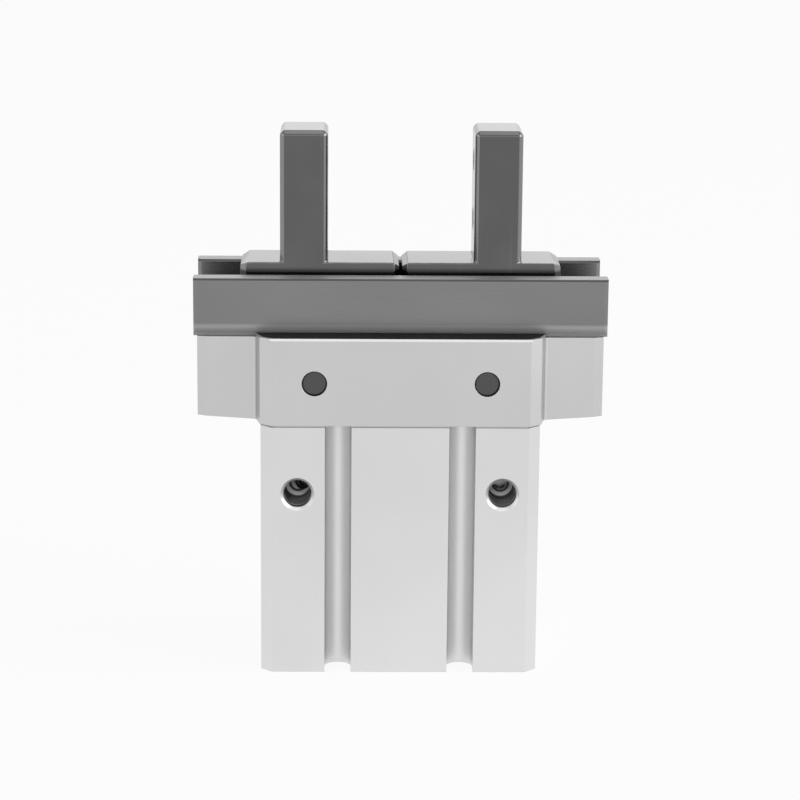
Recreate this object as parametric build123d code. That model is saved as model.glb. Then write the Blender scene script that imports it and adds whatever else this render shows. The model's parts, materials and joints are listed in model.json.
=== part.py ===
from build123d import *
import math
import os

# A pneumatic gripper with two parallel fingers, drawn closed, in millimetres.
# The origin is the centre of the underside. +Z points to the finger tips, the air ports
# face -Y, and the two fingers move apart along X.

# Clearances between pieces
running_gap = 0.05          # a shaft or roller in its bore
piston_gap = 0.1            # the piston in the cylinder
seal_gap = 0.03             # a seal's lip to the wall it wipes
press_gap = 0.01            # a pressed or screwed piece in its hole
slot_gap = 0.1              # a roller or lobe to each side of its slot
side_gap = 0.3              # flat faces that pass each other
end_stop_gap = 0.05         # piston to upper bumper when the fingers are open
cut_extra = 1.0             # how far a cutting shape runs past the face it opens

# Lower body, which is the cylinder
body_width = 42.0
body_depth = 27.0
body_height = 38.8
body_corner = 1.7

# Upper block with a wing to each side
block_proud = 0.3           # the block past the lower body, front and rear
block_overhang = 0.75       # the block past the lower body, left and right
block_corner_length = 1.7   # slanted corner at each end of the block's front
block_corner_depth = 1.3
block_side_slant = 0.65     # how far the side behind that corner leans out to the wing
block_height = 13.3
block_edge_break = 0.3
relief_height = 0.3         # relief groove around the lower body, right under the block
relief_depth = 0.3
wing_setback = 0.55         # from the guide's end to the wing's end
wing_proud = 0.15           # the wing past the guide, front and rear
wing_corner_length = 1.4
wing_corner_depth = 0.45
wing_tip_lift = 0.55
wing_root_fillet = 0.7

# Seat that the guide is let into, and the gasket around its foot
seat_depth = 0.6
gasket_thickness = 0.3
gasket_rim = 0.45           # metal left around the gasket, front and rear
gasket_land = 3.45          # the gasket past the lever chamber, left and right

# Guide, a steel channel that the fingers run in
guide_length = 62.2
guide_depth = 18.4
guide_height = 8.8
guide_wall = 3.3
guide_floor = 2.8
guide_foot_radius = 1.65
guide_edge_break = 0.3
guide_end_chamfer = 0.5

# Fingers
finger_depth = 10.0
finger_meeting_gap = 0.35   # between the two carriages when closed
carriage_length = 24.025
carriage_rise = 1.7         # carriage top above the guide's top
carriage_end_chamfer = 1.2
carriage_end_drop = 0.6
carriage_corner = 1.0
carriage_inner_chamfer = 1.05
carriage_inner_drop = 0.65
carriage_inner_corner = 0.85
blade_inset = 10.825        # from the carriage's inner end to the blade
blade_thickness = 7.2
blade_height = 19.95
blade_chamfer = 0.6
jaw_hole_diameter = 3.3     # M4 thread for the jaws
jaw_hole_pitch = 9.0
jaw_hole_from_tip = 5.0

# Ball guide
ball_diameter = 2.5
ball_pitch = 2.8
balls_per_row = 6
ball_groove_gap = 0.05
ball_height = 2.1           # ball centre above the guide's floor
ball_stop_diameter = 1.6
ball_stop_from_end = 2.6
ball_stop_reach = 3.4       # how far the stop pin stands above the guide's floor

# Levers that turn the rod's lift into the fingers' travel
finger_stroke = 7.0
lever_pivot_x = 12.9
lever_pivot_z = 45.3
lever_long_arm = 12.0
lever_short_arm = 7.5
lever_width = 8.0
lever_hub_radius = 4.2
lever_arm_width = 5.0
lever_lobe_radius = 2.0
lever_neck_half = 1.1
lever_root_half = 2.9
lever_neck_length = 2.4
lever_cheek = 1.5
lever_cheek_radius = 2.2
lever_pin_diameter = 3.8
lever_pin_recess = 0.3
lever_pin_chamfer = 0.25
roller_diameter = 3.6
roller_pin_diameter = 1.8

# Lever chamber in the block
chamber_length = 36.6
chamber_floor_lift = 0.4    # chamber floor above the block's underside
chamber_corner = 2.0
lever_slot_margin = 1.0

# Cross head on top of the piston rod
crosshead_lower_lip = 1.6
crosshead_upper_lip = 1.8
crosshead_half_length = 7.9
crosshead_column_half = 2.9
crosshead_screw_diameter = 3.0
crosshead_screw_head = 5.6
crosshead_screw_length = 11.0

# Cylinder and piston
bore_diameter = 20.0
partition_thickness = 6.2
rod_diameter = 8.0
piston_core_height = 8.8
piston_edge = 0.4
piston_seal_width = 2.6
piston_seal_depth = 2.0
piston_seal_from_top = 4.5
seal_side_gap = 0.05
magnet_height = 2.6
magnet_inner_radius = 6.3
magnet_outer_radius = 9.4
holder_height = 3.6
holder_radius = 9.6
piston_screw_diameter = 4.0
piston_screw_head = 7.0
piston_screw_head_height = 2.4
piston_screw_length = 17.0
holder_web = 1.0
rod_socket_depth = 3.0
rod_thread_margin = 0.3

# Rod seal and bumpers
rod_seal_radius = 6.5
rod_seal_height = 2.7
retainer_thickness = 1.0
retainer_recess = 0.1
bumper_thickness = 1.2
upper_bumper_inner = 7.0
upper_bumper_outer = 9.5
lower_bumper_inner = 4.5
lower_bumper_outer = 8.5

# End cap, its seal and its retaining ring
cap_bore_diameter = 21.0
cap_bore_chamfer = 0.3
cap_thickness = 8.0
cap_dish_radius = 7.0
cap_dish_depth = 1.5
cap_puller_diameter = 3.0
cap_puller_depth = 4.0
cap_seal_section = 1.5
cap_seal_from_top = 2.6
ring_thickness = 1.0
ring_groove_depth = 0.7
ring_width = 2.1
ring_gap_angle = 36.0
ring_lug_radius = 1.5
ring_lug_hole = 0.6
ring_lug_inset = 0.5

# Sensor grooves in the front
sensor_groove_x = 9.33
sensor_groove_width = 4.0
sensor_groove_depth = 4.7

# Air ports and passages
port_x = 15.45
port_z = 28.15
port_diameter = 4.2         # M5 thread
port_depth = 6.0
port_mouth_chamfer = 0.45
drill_tip_angle = 118.0
passage_diameter = 2.0
passage_overrun = 1.9       # from the port's end to the middle of the upright passage
passage_rise = 4.0          # climb of the slanted passage away from the bore
plug_diameter = 3.0
plug_length = 2.5
plug_recess = 0.3

# Mounting threads
mount_thread_diameter = 4.2
mount_thread_depth = 10.0
mount_half_pitch = 16.0
rear_thread_depth = 8.0
rear_half_pitch = 15.0
rear_thread_z = 15.0
thread_mouth_chamfer = 0.4

# Screws and dowels that hold the guide
guide_screw_diameter = 3.0
guide_screw_head = 5.6
guide_screw_length = 9.0
guide_screw_from_end = 4.1
guide_screw_y = 2.9
guide_screw_hex = 2.0
guide_screw_hex_depth = 1.1
dowel_diameter = 2.5
dowel_length = 8.0
dowel_from_end = 7.7
hole_end_margin = 1.0       # free depth below a screw or dowel

# Widths and depths that follow from the sizes above
block_depth = body_depth + 2 * block_proud
block_root_width = body_width + 2 * block_overhang
block_front_width = block_root_width - 2 * (block_corner_length + block_side_slant)
wing_depth = guide_depth + 2 * wing_proud
wing_length = guide_length - 2 * wing_setback
gasket_length = chamber_length + 2 * gasket_land
guide_screw_x = guide_length / 2 - guide_screw_from_end
dowel_x = guide_length / 2 - dowel_from_end

# Heights that follow from the sizes above
block_top = body_height + block_height
gasket_floor = block_top - gasket_thickness
guide_bottom = block_top - seat_depth
channel_floor = guide_bottom + guide_floor
guide_top = guide_bottom + guide_height
carriage_bottom = channel_floor + side_gap
carriage_top = guide_top + carriage_rise
blade_top = carriage_top + blade_height
ball_z = channel_floor + ball_height
channel_half = guide_depth / 2 - guide_wall
ball_y = (channel_half + finger_depth / 2) / 2
groove_radius = ball_diameter / 2 + ball_groove_gap

# Lever travel: each arm swings as far to one side of upright as to the other
lever_swing = math.asin(finger_stroke / 2 / lever_long_arm)
rod_travel = 2 * lever_short_arm * math.sin(lever_swing)
roller_x = lever_pivot_x - lever_short_arm * math.cos(lever_swing)
roller_z = lever_pivot_z - lever_short_arm * math.sin(lever_swing)
lobe_x = lever_pivot_x - finger_stroke / 2
lobe_top = lever_pivot_z + lever_long_arm + lever_lobe_radius

# Cross head, cylinder and piston heights with the piston on its lower bumper
chamber_floor = body_height + chamber_floor_lift
chamber_depth = lever_width + 2 * side_gap
partition_bottom = chamber_floor - partition_thickness
slot_half = roller_diameter / 2 + slot_gap
crosshead_bottom = roller_z - slot_half - crosshead_lower_lip
crosshead_top = roller_z + slot_half + crosshead_upper_lip
piston_top = partition_bottom - bumper_thickness - end_stop_gap - rod_travel
core_bottom = piston_top - piston_core_height
magnet_bottom = core_bottom - magnet_height
holder_bottom = magnet_bottom - holder_height
cap_top = holder_bottom - bumper_thickness
cap_bottom = cap_top - cap_thickness
rod_bottom = piston_top - rod_socket_depth
seal_top = piston_top - piston_seal_from_top

# Finger places when closed
carriage_inner_x = finger_meeting_gap / 2
carriage_outer_x = carriage_inner_x + carriage_length
blade_inner_x = carriage_inner_x + blade_inset
row_length = (balls_per_row - 1) * ball_pitch + ball_diameter
row_middle = (carriage_inner_x + carriage_outer_x) / 2 + finger_stroke / 4


def disc(radius, low, high, x=0.0, y=0.0):
    """An upright cylinder between two heights."""
    return Pos(x, y, (low + high) / 2) * Cylinder(radius, high - low)


def ring(outer, inner, low, high):
    """An upright tube about the main axis."""
    return disc(outer, low, high) - disc(inner, low, high)


def slab(length, depth, low, high, x=0.0):
    """A block between two heights, centred front to back."""
    return Pos(x, 0, (low + high) / 2) * Box(length, depth, high - low)


def shaft_along_y(radius, length, x, z, y=0.0):
    return Pos(x, y, z) * Rot(90, 0, 0) * Cylinder(radius, length)


def shaft_along_x(radius, low, high, y, z):
    return Pos((low + high) / 2, y, z) * Rot(0, 90, 0) * Cylinder(radius, high - low)


def tapped_hole(radius, depth, mouth):
    """A hole along -Z from the origin with a chamfered mouth."""
    hole = disc(radius, -depth, cut_extra)
    return hole + Pos(0, 0, -mouth / 2) * Cone(radius, radius + mouth, mouth)


def countersunk_screw(radius, head_radius, length, hex_size, hex_depth):
    """A flush-headed screw with its head's top at the origin and its shank down along -Z."""
    cone_height = head_radius - radius
    screw = disc(radius, -length, 0)
    screw += Pos(0, 0, -cone_height / 2) * Cone(radius, head_radius, cone_height)
    socket = RegularPolygon(hex_size / 2, 6, major_radius=False)
    return screw - raised(socket, -hex_depth, hex_depth + cut_extra)


def countersunk_hole(radius, head_radius, length):
    """The hole for a flush-headed screw, one press gap larger all round."""
    cone_height = head_radius - radius
    hole = disc(radius + press_gap, -length, 0)
    return hole + Pos(0, 0, -cone_height / 2) * Cone(
        radius + press_gap, head_radius + press_gap, cone_height)


def raised(plan, low, height):
    """A flat plan turned into a plate from one height upwards."""
    return Pos(0, 0, low) * extrude(plan, height, dir=(0, 0, 1))


def both_sides(solid):
    """A solid and its mirror image across the middle plane between the fingers."""
    return solid + mirror(solid, about=Plane.YZ)


def four_corners(quarter):
    """A closed plan from the points of its front right quarter, given from front to back."""
    mirrored = [(x, -y) for x, y in reversed(quarter)]
    right = quarter + mirrored
    left = [(-x, -y) for x, y in right]
    return Polygon(*right, *left, align=None)


def upper_outline():
    """The plan of block and wings, with rounded inner corners and bevelled tips."""
    front = block_depth / 2
    wing_y = wing_depth / 2
    tip = wing_length / 2
    root = block_root_width / 2
    plan = four_corners([(block_front_width / 2, front),
                         (root - block_side_slant, front - block_corner_depth),
                         (root, wing_y), (tip - wing_corner_length, wing_y),
                         (tip, wing_y - wing_corner_depth)])
    inner = [v for v in plan.vertices()
             if abs(abs(v.X) - root) < press_gap and abs(abs(v.Y) - wing_y) < press_gap]
    return fillet(inner, wing_root_fillet)


def gasket_shape(gap, top):
    """A sheet on the block's top that dips under the guide, or its recess, a gap larger."""
    front = block_depth / 2 - gasket_rim + gap
    end = gasket_length / 2 + gap
    corner = end - block_side_slant - gasket_rim
    plan = four_corners([(corner - block_corner_length, front),
                         (corner, front - block_corner_depth), (end, wing_depth / 2)])
    bottom = guide_bottom - gasket_thickness
    trough = raised(plan, bottom, top - bottom)
    trough &= slab(gasket_length + cut_extra, seat_width() + 2 * gap, bottom, top)
    return trough + raised(plan, gasket_floor, top - gasket_floor)


def seat_width():
    """The guide's depth with the gasket's upright edge to each side."""
    return guide_depth + 2 * (gasket_thickness + press_gap)


def over_wing(low, high):
    """The space above the right wing, over the block's whole depth."""
    root = block_root_width / 2
    length = wing_length / 2 - root + cut_extra
    return slab(length, block_depth, low, high, root + length / 2)


def wing_underside_cut():
    """The wedge of air under the right wing, whose underside rises to the tip."""
    root = block_root_width / 2
    tip = wing_length / 2
    far = tip + cut_extra
    far_lift = wing_tip_lift * (far - root) / (tip - root)
    low = body_height - cut_extra
    side = Polygon((root, low), (far, low), (far, body_height + far_lift), (root, body_height),
                   align=None)
    return extrude(Plane.XZ * side, block_depth, both=True)


def lower_body(inset, low, high):
    """A stretch of the cylinder housing with chamfered corners, set in by some depth."""
    solid = slab(body_width - 2 * inset, body_depth - 2 * inset, low, high)
    return chamfer(solid.edges().filter_by(Axis.Z), body_corner)


def body_shell():
    """The outside of the body: cylinder housing, relief groove, block and wings."""
    relief_low = body_height - relief_height
    upper = raised(upper_outline(), body_height, block_height)
    front_edges = [e for e in upper.edges().filter_by(Axis.X)
                   if abs(abs(e.center().Y) - block_depth / 2) < press_gap
                   and abs(e.center().Z - block_top) < press_gap]
    upper = chamfer(front_edges, block_edge_break)
    upper -= both_sides(wing_underside_cut())
    over_top = block_top + cut_extra
    upper -= slab(wing_length + cut_extra, seat_width() + 2 * press_gap, guide_bottom, over_top)
    upper -= both_sides(over_wing(guide_bottom, over_top))
    upper -= gasket_shape(press_gap, over_top)
    return lower_body(0, 0, relief_low) + lower_body(relief_depth, relief_low, body_height) + upper


def cylinder_space():
    """Everything turned inside the body on the main axis, from the underside to the chamber."""
    space = disc(cap_bore_diameter / 2, -cut_extra, cap_top)
    space += Pos(0, 0, cap_bore_chamfer / 2) * Cone(
        cap_bore_diameter / 2 + cap_bore_chamfer, cap_bore_diameter / 2, cap_bore_chamfer)
    space += disc(cap_bore_diameter / 2 + ring_groove_depth,
                  cap_bottom - ring_thickness - 2 * press_gap, cap_bottom)
    space += disc(bore_diameter / 2, cap_top, partition_bottom)
    gland_top = partition_bottom + rod_seal_height + retainer_thickness + retainer_recess
    space += disc(rod_seal_radius, partition_bottom, gland_top)
    space += disc(rod_diameter / 2 + running_gap, gland_top, chamber_floor)
    return space


def lever_chamber():
    """The pocket milled down into the block for the levers and the cross head."""
    pocket = slab(chamber_length, chamber_depth, chamber_floor, block_top + cut_extra)
    return fillet(pocket.edges().filter_by(Axis.Z), chamber_corner)


def sensor_groove():
    """A straight groove with a round floor, open to the front and to the underside."""
    radius = sensor_groove_width / 2
    front = -body_depth / 2
    middle_y = front + sensor_groove_depth - radius
    groove = disc(radius, -cut_extra, body_height, sensor_groove_x, middle_y)
    mouth = Box(sensor_groove_width, middle_y - front + cut_extra, body_height + cut_extra)
    mouth_y = (middle_y + front - cut_extra) / 2
    return groove + Pos(sensor_groove_x, mouth_y, (body_height - cut_extra) / 2) * mouth


def front_port():
    """The threaded air port, drilled into the front along +Y at the right."""
    radius = port_diameter / 2
    hole = tapped_hole(radius, port_depth, port_mouth_chamfer)
    tip = radius / math.tan(math.radians(drill_tip_angle / 2))
    hole += Pos(0, 0, -port_depth - tip / 2) * Rot(180, 0, 0) * Cone(radius, 0, tip)
    return Pos(port_x, -body_depth / 2, port_z) * Rot(90, 0, 0) * hole


def straight_passage(start, end):
    """A small drilled air passage between two points."""
    line = Line(start, end)
    profile = Plane(origin=start, z_dir=line % 0) * Circle(passage_diameter / 2)
    return sweep(profile, path=line)


def air_passages():
    """The left port leads straight to the rod side. The right port leads down to the cap side."""
    port_end = -body_depth / 2 + port_depth
    wall = bore_diameter / 2
    rod_side = straight_passage((-port_x, port_end, port_z), (-wall * 0.7, 0, port_z))
    upright_y = port_end + passage_overrun
    feed = straight_passage((port_x, port_end, port_z),
                            (port_x, upright_y + passage_diameter / 2, port_z))
    upright = disc(passage_diameter / 2, 0, port_z, port_x, upright_y)
    entry_z = cap_top + passage_diameter / 2
    slanted = straight_passage((port_x, upright_y, entry_z + passage_rise),
                               (wall * 0.85, upright_y / 2, entry_z))
    plug_seat = disc(plug_diameter / 2 + press_gap, -cut_extra, plug_recess + plug_length,
                     port_x, upright_y)
    return rod_side + feed + upright + slanted + plug_seat


def mounting_threads():
    """Two threads in the underside and two in the rear face."""
    radius = mount_thread_diameter / 2
    below = Rot(180, 0, 0) * tapped_hole(radius, mount_thread_depth, thread_mouth_chamfer)
    rear = Rot(-90, 0, 0) * tapped_hole(radius, rear_thread_depth, thread_mouth_chamfer)
    holes = Pos(mount_half_pitch, 0, 0) * below
    holes += Pos(rear_half_pitch, body_depth / 2, rear_thread_z) * rear
    return both_sides(holes)


def guide_fixing_places():
    """Where the four guide screws stand."""
    return [(sx * guide_screw_x, sy * guide_screw_y) for sx in (-1, 1) for sy in (-1, 1)]


def fixing_holes_in_body():
    """Tapped and reamed holes in the wings for the guide's screws and dowels."""
    screw_end = channel_floor - guide_screw_length - hole_end_margin
    dowel_end = channel_floor - dowel_length - hole_end_margin
    holes = disc(dowel_diameter / 2 + press_gap, dowel_end, block_top, dowel_x)
    holes += disc(dowel_diameter / 2 + press_gap, dowel_end, block_top, -dowel_x)
    for x, y in guide_fixing_places():
        holes += disc(guide_screw_diameter / 2 + press_gap, screw_end, block_top, x, y)
    return holes


def lever_pin_bores():
    radius = lever_pin_diameter / 2 + press_gap
    bore = shaft_along_y(radius, block_depth + cut_extra, lever_pivot_x, lever_pivot_z)
    return both_sides(bore)


def make_body():
    solid = body_shell()
    solid -= cylinder_space()
    solid -= lever_chamber()
    solid -= both_sides(sensor_groove())
    solid -= both_sides(front_port())
    solid -= air_passages()
    solid -= mounting_threads()
    solid -= fixing_holes_in_body()
    solid -= lever_pin_bores()
    return solid


def make_passage_plug():
    upright_y = -body_depth / 2 + port_depth + passage_overrun
    return disc(plug_diameter / 2, plug_recess, plug_recess + plug_length, port_x, upright_y)


def make_gasket():
    """A moulded sheet around the guide's foot that closes the top of the lever chamber."""
    foot = slab(guide_length, guide_depth + 2 * press_gap, guide_bottom, block_top + cut_extra)
    return gasket_shape(0, block_top) - foot - lever_chamber()


def guide_profile():
    """The guide's cross section, seen from the end."""
    outer = guide_depth / 2
    inner = channel_half
    edge = guide_edge_break
    right = [(outer, guide_bottom), (outer, guide_top - edge), (outer - edge, guide_top),
             (inner + edge, guide_top), (inner, guide_top - edge), (inner, channel_floor)]
    left = [(-y, z) for y, z in reversed(right)]
    return Plane.YZ * Polygon(*right, *left, align=None)


def lever_slot():
    """The slot in the guide's floor that the right lever's long arm swings in."""
    reach = (channel_floor - lever_pivot_z) * math.tan(lever_swing)
    half = reach + lever_root_half + lever_slot_margin
    pocket = slab(2 * half, lever_arm_width + 2 * side_gap, guide_bottom - cut_extra,
                  channel_floor + cut_extra, lever_pivot_x)
    return fillet(pocket.edges().filter_by(Axis.Z), lever_slot_margin)


def ball_stop_place():
    """The right end's stop pin, which stands in the wall across the end of the ball groove."""
    return guide_length / 2 - ball_stop_from_end, channel_half + ball_stop_diameter / 2


def make_guide():
    solid = extrude(guide_profile(), guide_length / 2, both=True)
    solid = chamfer(solid.edges().filter_by(Axis.Z), guide_end_chamfer)
    foot = solid.edges().filter_by(Axis.X).group_by(Axis.Z)[0]
    solid = fillet(foot, guide_foot_radius)
    for side in (-1, 1):
        solid -= shaft_along_x(groove_radius, -guide_length / 2 - cut_extra,
                               guide_length / 2 + cut_extra, side * ball_y, ball_z)
    solid -= both_sides(lever_slot())
    for x, y in guide_fixing_places():
        solid -= Pos(x, y, channel_floor) * countersunk_hole(
            guide_screw_diameter / 2, guide_screw_head / 2, guide_screw_length)
    for side in (-1, 1):
        solid -= disc(dowel_diameter / 2 + press_gap, guide_bottom, channel_floor, side * dowel_x)
    for stop in stop_pins(press_gap):
        solid -= stop
    return solid


def stop_pins(extra_radius):
    """The four stop pins, pressed up into the guide from below."""
    x, y = ball_stop_place()
    top = channel_floor + ball_stop_reach + extra_radius
    radius = ball_stop_diameter / 2 + extra_radius
    return [disc(radius, guide_bottom, top, sx * x, sy * y) for sx in (-1, 1) for sy in (-1, 1)]


def make_guide_screws():
    screw = countersunk_screw(guide_screw_diameter / 2, guide_screw_head / 2, guide_screw_length,
                              guide_screw_hex, guide_screw_hex_depth)
    return [Pos(x, y, channel_floor) * screw for x, y in guide_fixing_places()]


def make_dowels():
    low = channel_floor - dowel_length
    return [disc(dowel_diameter / 2, low, channel_floor, side * dowel_x) for side in (-1, 1)]


def finger_ball_groove(side):
    """A groove as long as the stretch that the balls ever reach in the finger."""
    low = row_middle - row_length / 2 - finger_stroke / 2 - ball_groove_gap
    high = row_middle + row_length / 2 + ball_groove_gap
    return shaft_along_x(groove_radius, low, high, side * ball_y, ball_z)


def carriage():
    """The sliding foot of the right finger, which runs in the guide."""
    side = Polygon((carriage_inner_x, carriage_bottom), (carriage_outer_x, carriage_bottom),
                   (carriage_outer_x, carriage_top - carriage_end_drop),
                   (carriage_outer_x - carriage_end_chamfer, carriage_top),
                   (carriage_inner_x + carriage_inner_chamfer, carriage_top),
                   (carriage_inner_x, carriage_top - carriage_inner_drop), align=None)
    solid = extrude(Plane.XZ * side, finger_depth / 2, both=True)
    outer = [e for e in solid.edges().filter_by(Axis.Z) if e.center().X > lever_pivot_x]
    solid = chamfer(outer, carriage_corner)
    inner = [e for e in solid.edges().filter_by(Axis.Z) if e.center().X < blade_inner_x]
    return chamfer(inner, carriage_inner_corner)


def blade():
    """The upright part of the right finger, which the jaw is screwed to."""
    middle = blade_inner_x + blade_thickness / 2
    solid = slab(blade_thickness, finger_depth, carriage_top - blade_chamfer, blade_top, middle)
    edges = solid.edges().filter_by(Axis.Z) + solid.edges().group_by(Axis.Z)[-1]
    return chamfer(edges, blade_chamfer)


def make_right_finger():
    solid = carriage() + blade()
    pocket_half = lever_lobe_radius + slot_gap
    pocket_top = lobe_top + side_gap
    solid -= slab(2 * pocket_half, lever_arm_width + 2 * side_gap, carriage_bottom - cut_extra,
                  pocket_top, lobe_x)
    for side in (-1, 1):
        solid -= finger_ball_groove(side)
    for step in (0, 1):
        z = blade_top - jaw_hole_from_tip - step * jaw_hole_pitch
        solid -= shaft_along_x(jaw_hole_diameter / 2, blade_inner_x - cut_extra,
                               blade_inner_x + blade_thickness + cut_extra, 0, z)
    return solid


def make_ball(x, y):
    """A guide ball, drawn as a cube cut back along all its edges, because there are many.

    Its corners lie on the ball's sphere and all its sides are equally long.
    """
    side = ball_diameter / math.sqrt(5 + 2 * math.sqrt(2))
    cube_side = side * (1 + math.sqrt(2))
    cube = Box(cube_side, cube_side, cube_side)
    return Pos(x, y, ball_z) * chamfer(cube.edges(), side / math.sqrt(2))


def make_right_balls():
    first = row_middle - row_length / 2 + ball_diameter / 2
    return [make_ball(first + n * ball_pitch, side * ball_y)
            for side in (-1, 1) for n in range(balls_per_row)]


def lever_long_arm_shape():
    """The long arm upright: a tapered plate, a neck and the round lobe at its end."""
    neck_low = lever_long_arm - lever_neck_length
    arm = Polygon((-lever_root_half, 0), (lever_root_half, 0), (lever_neck_half, neck_low),
                  (lever_neck_half, lever_long_arm), (-lever_neck_half, lever_long_arm),
                  (-lever_neck_half, neck_low), align=None)
    arm += Pos(0, lever_long_arm) * Circle(lever_lobe_radius)
    return extrude(Plane.XZ * arm, lever_arm_width / 2, both=True)


def lever_cheek_shape():
    """One cheek of the fork on the short arm, which lies along -X."""
    side = Pos(-lever_short_arm / 2, 0) * Rectangle(lever_short_arm, 2 * lever_cheek_radius)
    side += Pos(-lever_short_arm, 0) * Circle(lever_cheek_radius)
    plane = Plane.XZ.offset(lever_width / 2 - lever_cheek)
    return extrude(plane * side, lever_cheek)


def make_right_lever():
    """A bell crank, drawn upright and then turned inwards to the closed place."""
    solid = shaft_along_y(lever_hub_radius, lever_width, 0, 0)
    solid += lever_long_arm_shape()
    front_cheek = lever_cheek_shape()
    solid += front_cheek + mirror(front_cheek, about=Plane.XZ)
    solid -= shaft_along_y(lever_pin_diameter / 2 + running_gap, lever_width, 0, 0)
    solid -= shaft_along_y(roller_pin_diameter / 2 + press_gap, lever_width, -lever_short_arm, 0)
    turned = Rot(0, -math.degrees(lever_swing), 0) * solid
    return Pos(lever_pivot_x, 0, lever_pivot_z) * turned


def make_right_lever_pin():
    length = block_depth - 2 * lever_pin_recess
    pin = shaft_along_y(lever_pin_diameter / 2, length, lever_pivot_x, lever_pivot_z)
    return chamfer(pin.edges().filter_by(GeomType.CIRCLE), lever_pin_chamfer)


def make_right_roller():
    width = lever_width - 2 * lever_cheek - 2 * side_gap
    solid = shaft_along_y(roller_diameter / 2, width, roller_x, roller_z)
    return solid - shaft_along_y(roller_pin_diameter / 2 + running_gap, width, roller_x, roller_z)


def make_right_roller_pin():
    return shaft_along_y(roller_pin_diameter / 2, lever_width, roller_x, roller_z)


def make_crosshead():
    """A slotted bar on the rod's end. Each lever's roller runs in its slot."""
    web_depth = lever_width - 2 * lever_cheek - 2 * side_gap
    solid = slab(2 * crosshead_half_length, web_depth, crosshead_bottom, crosshead_top)
    solid += slab(2 * crosshead_column_half, lever_width, crosshead_bottom, crosshead_top)
    slot_start = lever_pivot_x - lever_short_arm - slot_half - slot_gap
    slot_length = crosshead_half_length - slot_start + cut_extra
    slot = slab(slot_length, lever_width, roller_z - slot_half, roller_z + slot_half,
                slot_start + slot_length / 2)
    solid -= both_sides(slot)
    return solid - Pos(0, 0, crosshead_top) * countersunk_hole(
        crosshead_screw_diameter / 2, crosshead_screw_head / 2, crosshead_top - crosshead_bottom)


def make_crosshead_screw():
    screw = countersunk_screw(crosshead_screw_diameter / 2, crosshead_screw_head / 2,
                              crosshead_screw_length, guide_screw_hex, guide_screw_hex_depth)
    return Pos(0, 0, crosshead_top) * screw


def make_piston_rod():
    """The rod, with a thread hole at each end."""
    solid = disc(rod_diameter / 2, rod_bottom, crosshead_bottom)
    upper_end = crosshead_top - crosshead_screw_length - rod_thread_margin
    lower_end = magnet_bottom - holder_web + piston_screw_length + rod_thread_margin
    solid -= disc(crosshead_screw_diameter / 2 + press_gap, upper_end, crosshead_bottom)
    return solid - disc(piston_screw_diameter / 2 + press_gap, rod_bottom, lower_end)


def make_piston():
    """The piston's core, with its seal groove and a spigot for the magnet."""
    radius = bore_diameter / 2 - piston_gap
    solid = disc(radius, core_bottom, piston_top)
    solid = chamfer(solid.edges().group_by(Axis.Z)[-1], piston_edge)
    solid += disc(magnet_inner_radius - press_gap, magnet_bottom, core_bottom)
    groove_bottom = seal_top - piston_seal_width
    solid -= ring(radius, radius - piston_seal_depth, groove_bottom, seal_top)
    solid -= disc(rod_diameter / 2 + press_gap, rod_bottom, piston_top)
    return solid - disc(piston_screw_diameter / 2 + press_gap, magnet_bottom, rod_bottom)


def make_piston_seal():
    """A rubber ring that wipes the bore."""
    inner = bore_diameter / 2 - piston_gap - piston_seal_depth + press_gap
    return ring(bore_diameter / 2 - seal_gap, inner, seal_top - piston_seal_width + seal_side_gap,
                seal_top - seal_side_gap)


def make_magnet():
    return ring(magnet_outer_radius, magnet_inner_radius, magnet_bottom, core_bottom)


def make_magnet_holder():
    """The plate that clamps the magnet and takes the piston screw's head."""
    solid = disc(holder_radius, holder_bottom, magnet_bottom)
    solid -= disc(piston_screw_head / 2 + running_gap, holder_bottom, magnet_bottom - holder_web)
    return solid - disc(piston_screw_diameter / 2 + press_gap, magnet_bottom - holder_web,
                        magnet_bottom)


def make_piston_screw():
    seat = magnet_bottom - holder_web
    solid = disc(piston_screw_diameter / 2, seat, seat + piston_screw_length)
    solid += disc(piston_screw_head / 2, seat - piston_screw_head_height, seat)
    socket = RegularPolygon(guide_screw_hex / 2, 6, major_radius=False)
    return solid - raised(socket, seat - piston_screw_head_height, guide_screw_hex_depth)


def make_rod_seal():
    """A rubber ring that wipes the rod."""
    low = partition_bottom + retainer_recess + retainer_thickness
    return ring(rod_seal_radius - press_gap, rod_diameter / 2 + seal_gap, low,
                low + rod_seal_height)


def make_rod_seal_retainer():
    low = partition_bottom + retainer_recess
    return ring(rod_seal_radius - press_gap, rod_diameter / 2 + side_gap, low,
                low + retainer_thickness)


def make_upper_bumper():
    return ring(upper_bumper_outer, upper_bumper_inner, partition_bottom - bumper_thickness,
                partition_bottom)


def make_lower_bumper():
    return ring(lower_bumper_outer, lower_bumper_inner, cap_top, holder_bottom)


def make_end_cap():
    """The plug of the cylinder, with a seal groove, a dished face and a puller thread."""
    radius = cap_bore_diameter / 2 - running_gap
    solid = disc(radius, cap_bottom, cap_top)
    solid = chamfer(solid.edges().group_by(Axis.Z)[0], cap_bore_chamfer)
    groove_top = cap_top - cap_seal_from_top
    groove_bottom = groove_top - cap_seal_section - 2 * seal_side_gap
    floor_radius = cap_bore_diameter / 2 - seal_gap - cap_seal_section - press_gap
    solid -= ring(radius, floor_radius, groove_bottom, groove_top)
    solid -= disc(cap_dish_radius, cap_bottom, cap_bottom + cap_dish_depth)
    return solid - disc(cap_puller_diameter / 2, cap_bottom, cap_bottom + cap_puller_depth)


def make_end_cap_seal():
    """A rubber ring, squeezed square in its groove."""
    outer = cap_bore_diameter / 2 - seal_gap
    high = cap_top - cap_seal_from_top - seal_side_gap
    return ring(outer, outer - cap_seal_section, high - cap_seal_section, high)


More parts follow.
